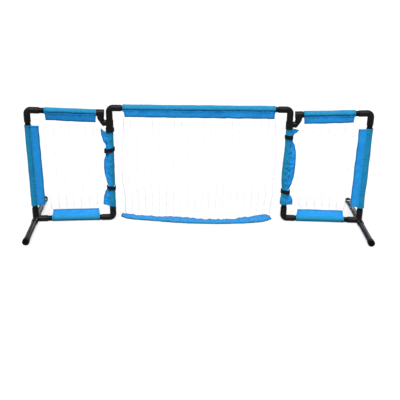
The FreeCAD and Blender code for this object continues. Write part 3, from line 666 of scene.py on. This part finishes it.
def wrap_point(up, across, shape, seed):
    """Where a point of the flat strip goes: X from the post to the net, Z up. The point lies at a share up
    the strip and at a distance across it from its middle."""
    side = 1 if across >= 0 else -1
    share = abs(across) / WRAP_HALF
    low, high = along_table(shape["bottom"], share), along_table(shape["top"], share)
    height = low + (high - low) * up
    reach, back = along_table(shape["reach"], height), along_table(shape["back"], height)
    radius = (back + WRAP_NEAR) / 2
    centre = WRAP_NEAR - radius
    beyond = max(reach - centre, radius * 1.04)
    opening = math.acos(radius / beyond)
    arc, run = radius * (math.pi - opening), math.sqrt(beyond ** 2 - radius ** 2)
    spare = 1 - (arc + run) * MM / WRAP_HALF
    walked = share * (arc + run)
    if walked <= arc:
        angle = math.pi - walked / radius
        x, y = centre + radius * math.cos(angle), radius * math.sin(angle)
        out = Vector((math.cos(angle), math.sin(angle), 0))
        free = ease((walked / arc - 0.35) / 0.65)
    else:
        far = (walked - arc) / run
        x = centre + radius * math.cos(opening) + (beyond - radius * math.cos(opening)) * far
        y = radius * math.sin(opening) * (1 - far) * (1 - 0.3 * math.sin(math.pi * far))
        out = Vector((math.cos(opening), math.sin(opening), 0))
        free = 1 - 0.75 * ease(far * 1.1 - 0.1)
    pinch = min(abs(height - z) for z in shape["pinch"])
    held = ease((pinch - PINCHED) / PINCH_FADE)
    phase = FOLDS * share + 1.1 * wander(seed + side, height / 60, share * 2)
    fold = 1 - 2 * abs(math.sin(math.pi * phase)) ** 0.8
    lift = (0.55 + 0.6 * fold) * (1 - held) * 1.1 + fold * held * free * (1.6 + 7 * max(0, spare))
    lift += held * free * 2.6 * wander(seed + 3 * side, height / 22 + 2 * share, share * 5 - height / 36)
    small = wander(seed + 5 * side, height / 9 + 5 * share, share * 8 - height / 20)
    lift += (0.4 + 0.6 * free) * 1.3 * small
    x, y = x + out.x * lift, y + 0.35 + out.y * lift
    clear = max(1.0, (POST_CLEAR + 0.5 * ease(fold)) / math.hypot(x, y))
    return Vector((x * clear, side * y * clear + wrap_sway(seed, height, reach, share), height)) * MM


def make_wrap(side):
    shape, seed = WRAPS[side], WRAP_SEEDS[side]
    post, outer = tube_ends(f"{side}_inner_post")[0], tube_ends(f"{side}_outer_post")[0]
    out = Vector((outer.x - post.x, outer.y - post.y, 0)).normalized()
    place = Matrix((out, UP.cross(out), UP)).transposed().to_4x4()
    place.translation = (post.x, post.y, 0)
    tall = (shape["top"][-1][1] - shape["bottom"][-1][1]) * MM

    bm = flat_cloth(tall, 2 * WRAP_HALF, WRAP_CELL)
    for vert in bm.verts:
        vert.co = place @ wrap_point(vert.co.x / tall, vert.co.y, shape, seed)
    cloth = finish_piece(bm, f"{side}_wrap_cloth", f"{side}_wing", wrap_cloth, CLOTH)
    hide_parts(f"{side}_inner_wrap")

    bm = bmesh.new()
    for face in (-1, 1):
        def point(at, face=face):
            where = wrap_point((at + WRAP_MARGIN) / tall, face * (WRAP_HALF - EDGE_STITCH), shape, seed)
            return place @ (where + Vector((0, face * (CLOTH / 2 + THREAD_PROUD), 0)))

        add_stitches(bm, tall - 2 * WRAP_MARGIN, point)
    stitches = finish_piece(bm, f"{side}_wrap_stitches", f"{side}_wing", blue_thread)
    return place


# painted light: the wraps are painted lighter than the sleeves' cloth, to look more brightly lit
wrap_cloth = cloth_material("wrap_cloth", (22 * MM, 54 * MM), (WRAP_HALF - EDGE_STITCH,), WRAP_HALF, 1.10)
WRAP_PLACES = {side: make_wrap(side) for side in WRAPS}

# The straps: 17.5 mm hook-and-loop tape in black. Each goes once round the wrap and on over itself, and its
# free end stands off a little. They are pulled tight by hand, so they sit askew.
TAPE, TAPE_WIDTH, TAPE_CELL = 1.1, 17.5, 1.7
TAPE_EDGE, TAPE_EDGE_ANGLE = 0.3 * MM, math.radians(50)
BUNDLE_HALF = 16.4
SQUARENESS = 2.3
TAIL, TAIL_LIFT = 9, 1.6
STRAPS = {
    # in mm: middle height, nearest and farthest reach, fall from the post to the net; in degrees: how far the
    # tape goes on past one turn
    "left_upper_strap": (427.0, 16.6, 16.8, 0.5, 200),
    "left_middle_strap": (337, 17.5, 27.0, 4.5, 250),
    "left_lower_strap": (160, 15.8, 22, -1.5, 230),
    "right_upper_strap": (401.5, 16.2, 19, 2.0, 320),
    "right_lower_strap": (146, 18, 22, 2.5, 300),
}


def strap_material():
    material, shader, add, wire = new_material("hook_and_loop_tape")
    at = add("TexCoord")
    fuzz = add("TexNoise", {"Vector": at.outputs["Object"], "Scale": 1600.0, "Detail": 4.0, "Roughness": 0.7})
    lint = add("TexNoise", {"Vector": at.outputs["Object"], "Scale": 260.0, "Detail": 3.0})
    tone = two_tones(add, lint.outputs["Fac"], (0.45, (0.004, 0.004, 0.0045)),
                     (0.75, (0.016, 0.0155, 0.0155)))
    bump = add("Bump", {"Height": fuzz.outputs["Fac"], "Strength": 0.8, "Distance": 0.0005})
    wire(tone, "Base Color")
    wire(bump.outputs["Normal"], "Normal")
    shader.inputs["Roughness"].default_value = 0.85
    shader.inputs["Specular IOR Level"].default_value = 0.12
    shader.inputs["Sheen Weight"].default_value = 0.04
    return material


def make_strap(name):
    """A tape that starts on the net's side, goes once round and on to its free end."""
    height, near, reach, fall, end = STRAPS[name]
    side = name.split("_")[0]
    seed = len(name) + height
    half, centre = (near + reach) / 2, (reach - near) / 2
    girth = math.pi * (half + BUNDLE_HALF)
    length = girth * (1 + end / 360)
    bm = bmesh.new()
    place = Matrix.Translation((length / 2, 0, 0)) @ Matrix.Diagonal((length, TAPE_WIDTH, 1, 1))
    bmesh.ops.create_grid(bm, x_segments=round(length / TAPE_CELL), y_segments=8, size=0.5, matrix=place)
    for vert in bm.verts:
        turn = vert.co.x / girth
        angle = 2 * math.pi * turn
        layer = (TAPE + 0.15) * ease((turn - 0.75) / 0.25)
        tail = ease((vert.co.x - length + TAIL) / TAIL)
        cup = 0.35 * (2 * vert.co.y / TAPE_WIDTH) ** 2
        off = layer + TAIL_LIFT * tail ** 2 - cup + 0.35 * wander(seed, turn * 5, vert.co.y / 9)
        c, s = math.cos(angle), math.sin(angle)
        swell = 1 / (abs(c) ** SQUARENESS + abs(s) ** SQUARENESS) ** (1 / SQUARENESS)
        x = centre + (half * swell + off) * c
        y = (BUNDLE_HALF * swell + off) * s
        z = height + vert.co.y - fall * x / half + 0.8 * wander(seed + 4, turn * 3)
        z += (0.8 if turn > 0.9 else 0) * tail
        vert.co = WRAP_PLACES[side] @ (Vector((x, y, z)) * MM)
    strap = finish_piece(bm, name + "_tape", f"{side}_wing", hook_and_loop, TAPE * MM)
    round_edges(strap, TAPE_EDGE, TAPE_EDGE_ANGLE)
    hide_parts(name)


hook_and_loop = strap_material()
for name in STRAPS:
    make_strap(name)

# The hem: the empty tunnel at the foot of the middle net, in the same cloth. It lies flat on the floor and
# bows forward. Its front is a fold, the net is sewn into its rear edge and puckers it, and its ends curl.
HEM_LENGTH, HEM_HALF = 742, 52
HEM_SEAMS = (0.64, 0.94)
HEM_MARGIN, HEM_THREAD_RISE = 4, 0.4 * MM
FLOOR_GAP = 0.5
HEM_EDGES = (
    # in mm: place across, front edge, rear edge, height of the rear edge
    (-363, 34.5, 62, 9.5), (-350, 20.5, 60, 9), (-330, 5, 54, 8.5), (-291, -6, 44, 7.5), (-244, -15, 37, 7),
    (-197, -23, 30, 7), (-151, -33, 25, 8), (-104, -42, 22, 8.5), (-35, -50, 10, 7.5), (34, -52, -2, 6),
    (79, -54, -4, 6.5), (126, -52, -2, 7), (172, -48, 3, 7), (201, -47, 14, 9), (242, -41, 20, 9.5),
    (270, -35, 31, 11.5), (295, -28, 40, 13.5), (320, -13, 43, 13.5), (333, 1.5, 39, 10), (343, 10.5, 32, 8),
)
POST_Y = tube_ends("left_inner_post")[0].y / MM


def hem_edge(x, column):
    return along_table([(row[0], row[column]) for row in HEM_EDGES], x)


def hem_point(at, across):
    """Where a point of the flat strip goes: 0 across is the front fold, and the upper layer is positive."""
    x = HEM_EDGES[0][0] + (HEM_EDGES[-1][0] - HEM_EDGES[0][0]) * at / HEM_LENGTH
    depth = abs(across) / HEM_HALF
    front, rear, rise = (hem_edge(x, column) for column in (1, 2, 3))
    pull = wander(61, x / 17) + 0.6 * wander(62, x / 7)
    rear += 2.6 * pull
    rise = max(1.5, rise + 1.1 * pull)
    crease = 2.2 * wander(63, x / 15 + depth * 1.5, depth * 2.2) + 1.3 * wander(64, x / 7, depth * 3)
    nose, back = 6.4 + 0.9 * wander(65, x / 25), ease(depth / 0.15) * depth
    if across < 0:
        under = min(1.0, depth / 0.1)
        y = front + 2.4 * under + (rear - front - 2.4) * back
        z = nose - (nose - FLOOR_GAP) * under + (rise * 0.5 - 0.5) * ease((depth - 0.75) / 0.25)
    else:
        turn = math.pi / 2 * min(1.0, depth / 0.08)
        tunnel = 8.6 + 1.4 * math.sin(math.pi * min(1.0, depth / 0.62)) + crease
        seam = 2.4 + 0.5 * rise
        high = tunnel + (seam - tunnel) * ease((depth - 0.42) / 0.2)
        high += (rise - seam) * ease((depth - 0.62) / 0.38)
        high += 0.6 * (pull + 0.6) * math.exp(-((depth - HEM_SEAMS[0]) / 0.1) ** 2)
        y = front + 3 * (1 - math.cos(turn)) + (rear - front - 3) * back
        z = nose + (max(high, 2.5) - nose) * math.sin(turn)
    end = min(x - HEM_EDGES[0][0], HEM_EDGES[-1][0] - x)
    z = FLOOR_GAP + (z - FLOOR_GAP) * (0.35 + 0.65 * ease(end / 7))
    return Vector((x, y + POST_Y, z)) * MM


def make_hem():
    bm = flat_cloth(HEM_LENGTH * MM, 2 * HEM_HALF * MM)
    for vert in bm.verts:
        vert.co = hem_point(vert.co.x / MM, vert.co.y / MM)
    cloth = finish_piece(bm, "middle_hem_cloth", "middle_panel", hem_cloth, CLOTH)
    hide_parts("middle_hem")

    bm = bmesh.new()
    for depth in HEM_SEAMS:
        add_stitches(bm, (HEM_LENGTH - 2 * HEM_MARGIN) * MM, lambda at, depth=depth:
                     hem_point(at / MM + HEM_MARGIN, depth * HEM_HALF) + Vector((0, 0, HEM_THREAD_RISE)))
    stitches = finish_piece(bm, "middle_hem_stitches", "middle_panel", blue_thread)


# painted shade: the hem lying on the floor is painted darker than the sleeves' cloth, and the darker strip
# along its front fold is painted shade under that fold
hem_cloth = cloth_material("hem_cloth", (1.5 * MM, 4.5 * MM), [seam * HEM_HALF * MM for seam in HEM_SEAMS],
                           HEM_HALF * MM, 0.75)
make_hem()

# The nets: white knotted cord in meshes of 30 to 35 mm, sewn between the flaps. The middle one hangs slack
# to its hem, and its sides are bare cord. Those of the wings reach to the free edge of the wrap.
CORD, KNOT, KNOT_SHAPE = 0.64, 1.1, (1.25, 0.9, 0.95, 1)
BARE_CORD, TIE_CORD = 1.6, 1.4
MESH_STEPS, TIE_STEPS = 6, 40
DRAW = 60 * MM
# A net's cords that run down it start at its first column. A wing's has none at 0, where its rows end inside
# the wrap.
MIDDLE_NET = {"columns": 21, "first": 0, "rows": 15, "left": -331, "right": 330, "top": 487, "bulge": 26}
WING_NET = {"columns": 8, "first": 1, "rows": 14, "inner": 35, "corner": 69, "outer": 313, "top": 474,
            "bottom": 50, "sewn_in": 3, "seeds": {"left": 85, "right": 86}}
TIE_MIDDLE, TIE_HALF = 2, 18
TIES = {
    # in mm: the height of each, and how far it rises on the far side of the post
    "left": ((160, 12.5), (161, -13.5)),
    "right": ((146, -13.0), (401.5, 11.5)),
}


def net_material():
    material, shader, add, wire = new_material("white_cord")
    at = add("TexCoord")
    twist = add("TexWave", {"Vector": at.outputs["Object"], "Scale": 260.0, "Distortion": 2.0, "Detail": 1.0,
                            "Detail Scale": 3.0}, wave_type="BANDS", bands_direction="DIAGONAL")
    colour = add("Mix", {"Factor": twist.outputs["Fac"], "A": (0.86, 0.89, 0.92, 1),
                         "B": (0.93, 0.95, 0.97, 1)}, data_type="RGBA")
    bump = add("Bump", {"Height": twist.outputs["Fac"], "Strength": 0.6, "Distance": 0.0003})
    wire(colour.outputs["Result"], "Base Color")
    wire(bump.outputs["Normal"], "Normal")
    shader.inputs["Roughness"].default_value = 0.7
    shader.inputs["Specular IOR Level"].default_value = 0.3
    return material


def middle_net_point(across, down):
    """A point of the slack middle net, at shares across and down it."""
    net = MIDDLE_NET
    x = net["left"] + (net["right"] - net["left"]) * across
    foot = min(HEM_EDGES[-1][0] - 6, max(HEM_EDGES[0][0] + 6, x * 1.02 - 4))
    rear, rise = hem_edge(foot, 2), hem_edge(foot, 3)
    z = net["top"] + (rise * 0.75 - net["top"]) * down
    slack = ease(down * 1.3 - 0.1) * (1 - ease(down * 5 - 4))
    x += (foot - x) * ease(down * 1.5 - 0.5)
    x += (across - 0.5) * net["bulge"] * math.sin(math.pi * down) ** 0.8
    x += slack * (4.5 * wander(71, across * 7, down * 5) + 6 * ease(down * 2 - 1) * (1 - across))
    y = (rear - 2) * down ** 2.2 + 7 * slack * wander(72, across * 6, down * 3)
    z += 3.0 * wander(73, across * 9, down * 8) * math.sin(math.pi * down)
    return Vector((x, y + POST_Y, z)) * MM


def wing_net_point(side, across, down):
    """A point of a wing's net, at shares across it from the wrap and down it."""
    net, seed = WING_NET, WING_NET["seeds"][side]
    shape = WRAPS[side]
    z = net["top"] + (net["bottom"] - net["top"]) * down
    top, foot = shape["top"][-1][1], shape["bottom"][-1][1]
    mesh_tall = (net["top"] - net["bottom"]) / net["rows"]
    z -= max(0, z - (top - 5)) * ease((net["top"] - z) / mesh_tall) * (1 - across) ** 4
    reach = along_table(shape["reach"], z)
    free = max((z - top) / (net["top"] - top), (foot - z) / (foot - net["bottom"]), 0)
    inner = reach - net["sewn_in"] + (net["corner"] - reach) * ease(free)
    x = net["inner"] + (net["outer"] - net["inner"]) * across + (inner - net["inner"]) * (1 - across) ** 2
    x += 2.2 * wander(seed, across * 5, down * 6) * math.sin(math.pi * across)
    z += 2.6 * wander(seed + 2, across * 5, down * 6) * math.sin(math.pi * min(1, max(0, down)))
    y = 3.5 * wander(seed + 4, across * 3, down * 3) * math.sin(math.pi * across)
    y += wrap_sway(WRAP_SEEDS[side], z, reach, 1) * (1 - across) ** 5
    return WRAP_PLACES[side] @ (Vector((x, y, z)) * MM)


def settle(spot, sleeves):
    """The point drawn in between the two layers of the flaps near it, and whether it lies in one of them."""
    near, total, drawn = 1.0, 0.0, Vector()
    for name in sleeves:
        place = SLEEVE_PLACES[name]
        at = place.inverted() @ spot
        length, wide, _, reaches, _, _, slip, _, _ = SLEEVE_CUTS[name]
        share = min(1.0, max(0.0, at.x / length))
        reach, seam = reaches[0] + (reaches[1] - reaches[0]) * share, SEAM_DROP * math.cos(slip)
        beyond = max(0.0, -at.z - reach, -at.x, at.x - length)
        if -at.z > seam and beyond < DRAW:
            across = SEAM_AT + wide * min(1.0, (-at.z - seam) / (reach - seam))
            front, rear = (sleeve_point(name, share * length, way * across) for way in (1, -1))
            weight = 1 / (beyond / MM + 0.5) ** 2
            near, total = min(near, beyond), total + weight
            drawn = drawn + weight * (((front + rear) / 2).y - at.y) * place.col[1].xyz
    if total:
        spot = spot + drawn / total * (1 - ease(near / DRAW))
    return spot, near < 2 * MM


def tie(side, height, rise):
    """A slanting loop of cord round the wrap, which rises by so much on the far side of the post."""
    spots = []
    for step in range(TIE_STEPS):
        angle = 2 * math.pi * step / TIE_STEPS
        c, s = math.cos(angle), math.sin(angle)
        spot = Vector((TIE_MIDDLE + TIE_HALF * c, BUNDLE_HALF * s, height - rise * c))
        spots.append(WRAP_PLACES[side] @ (spot * MM))
    return spots


def add_cord(curve, spots, weight, closed=False):
    """A cord along its points. The weight is its thickness, as against that of the net's cords."""
    spline = curve.splines.new("POLY")
    spline.points.add(len(spots) - 1)
    spline.use_cyclic_u = closed
    for node, spot in zip(spline.points, spots):
        node.co, node.radius = (*spot, 1), weight


def make_net(name, body, point, net, sleeves, ties=()):
    """A net of cords with a knot at each crossing, sewn between the flaps of the sleeves. The ties that hold
    it go round the wrap. A net that starts at column 0 has bare sides of thicker cord."""
    columns, first, rows = net["columns"], net["first"], net["rows"]
    curve = bpy.data.curves.new(name, "CURVE")
    curve.dimensions, curve.bevel_depth = "3D", CORD * MM
    curve.bevel_resolution, curve.resolution_u = 1, 1
    for c in range(first, columns + 1):
        places = [(c / columns, step / (rows * MESH_STEPS)) for step in range(rows * MESH_STEPS + 1)]
        bare = first == 0 and c in (0, columns)
        add_cord(curve, [settle(point(*place), sleeves)[0] for place in places], BARE_CORD if bare else 1.0)
    for r in range(rows + 1):
        places = [(step / (columns * MESH_STEPS), r / rows) for step in range(columns * MESH_STEPS + 1)]
        add_cord(curve, [settle(point(*place), sleeves)[0] for place in places], 1.0)
    for spots in ties:
        add_cord(curve, spots, TIE_CORD, closed=True)
    holder = bpy.data.objects.new(name, curve)
    mesh = bpy.data.meshes.new_from_object(holder)
    bm = bmesh.new()
    bm.from_mesh(mesh)
    for c in range(first, columns + 1):
        for r in range(rows + 1):
            spot, inside = settle(point(c / columns, r / rows), sleeves)
            if inside:
                continue
            spin = Matrix.Rotation(3 * wander(91, c * 1.7, r * 1.3), 4, "Y") @ Matrix.Diagonal(KNOT_SHAPE)
            bmesh.ops.create_icosphere(bm, subdivisions=1, radius=KNOT * MM,
                                       matrix=Matrix.Translation(spot) @ spin)
    bpy.data.objects.remove(holder)
    cords = finish_piece(bm, name + "_cords", body, white_cord)
    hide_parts(name)


white_cord = net_material()
make_net("middle_net", "middle_panel", middle_net_point, MIDDLE_NET, ["middle_sleeve"])
for side in ("left", "right"):
    make_net(f"{side}_net", f"{side}_wing",
             lambda across, down, side=side: wing_net_point(side, across, down), WING_NET,
             [f"{side}_{part}_sleeve" for part in ("top", "outer", "bottom")],
             [tie(side, *loop) for loop in TIES[side]])
